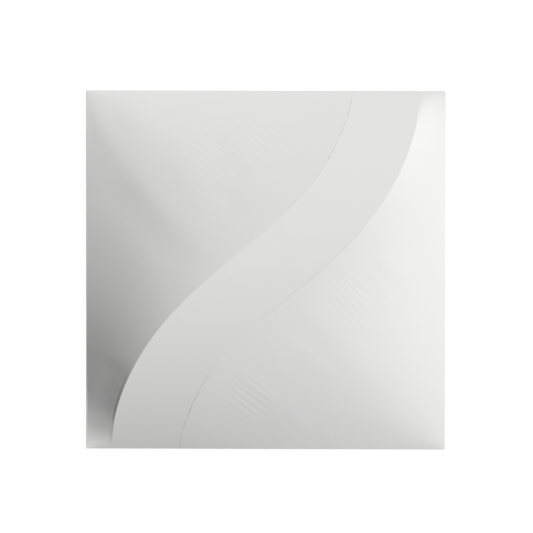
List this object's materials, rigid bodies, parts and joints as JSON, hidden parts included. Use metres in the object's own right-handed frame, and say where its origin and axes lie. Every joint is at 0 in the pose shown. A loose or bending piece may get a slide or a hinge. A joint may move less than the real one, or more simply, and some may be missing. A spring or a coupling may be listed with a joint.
{
  "type": "relief wall panel",
  "caption": "Square cast wall panel with a deep relief: an S-shaped arched band between two curved side fields, that rise straight from the panel's edges, over a flat back.",
  "frame": {"origin": "centre of the flat back face, which lies on the ground", "axes": "+Z out of the wall, through the relief; +Y up the wall as hung; +X to the right across the panel"},
  "size_m": [0.5, 0.5, 0.077],
  "materials": {
    "plaster": "matt cast gypsum plaster, smooth, unpainted white"
  },
  "bodies": {
    "root": {"relief_panel": "plaster"}
  },
  "joints": []
}
